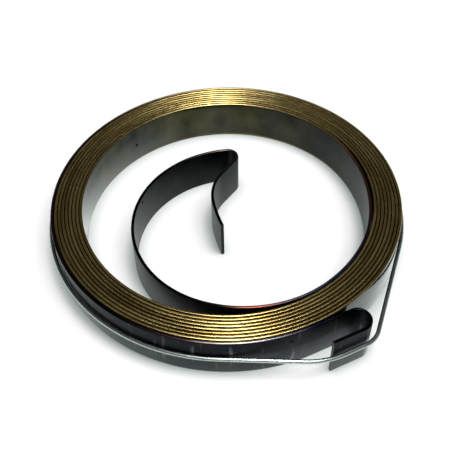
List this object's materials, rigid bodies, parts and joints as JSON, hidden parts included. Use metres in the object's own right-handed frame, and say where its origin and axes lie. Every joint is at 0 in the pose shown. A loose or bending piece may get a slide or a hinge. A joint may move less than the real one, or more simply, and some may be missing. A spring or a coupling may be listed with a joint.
{
  "type": "recoil starter spring",
  "caption": "Flat spiral spring of steel strip wound on edge, with a hook at each end and a free inner loop, held closed by a wire looped over the outer hook.",
  "frame": {"origin": "on the coil's axis, level with the strip's lower edge", "axes": "+Z along the coil's axis; the outer hook's legs lie along X on the -Y side, its bend towards +X"},
  "size_m": [0.0864, 0.0924, 0.0108],
  "materials": {
    "strip_steel": "tempered, oiled, satin",
    "wire_steel": "galvanised, satin"
  },
  "bodies": {
    "root": {"spring_strip": "strip_steel", "retaining_wire": "wire_steel"}
  },
  "joints": []
}
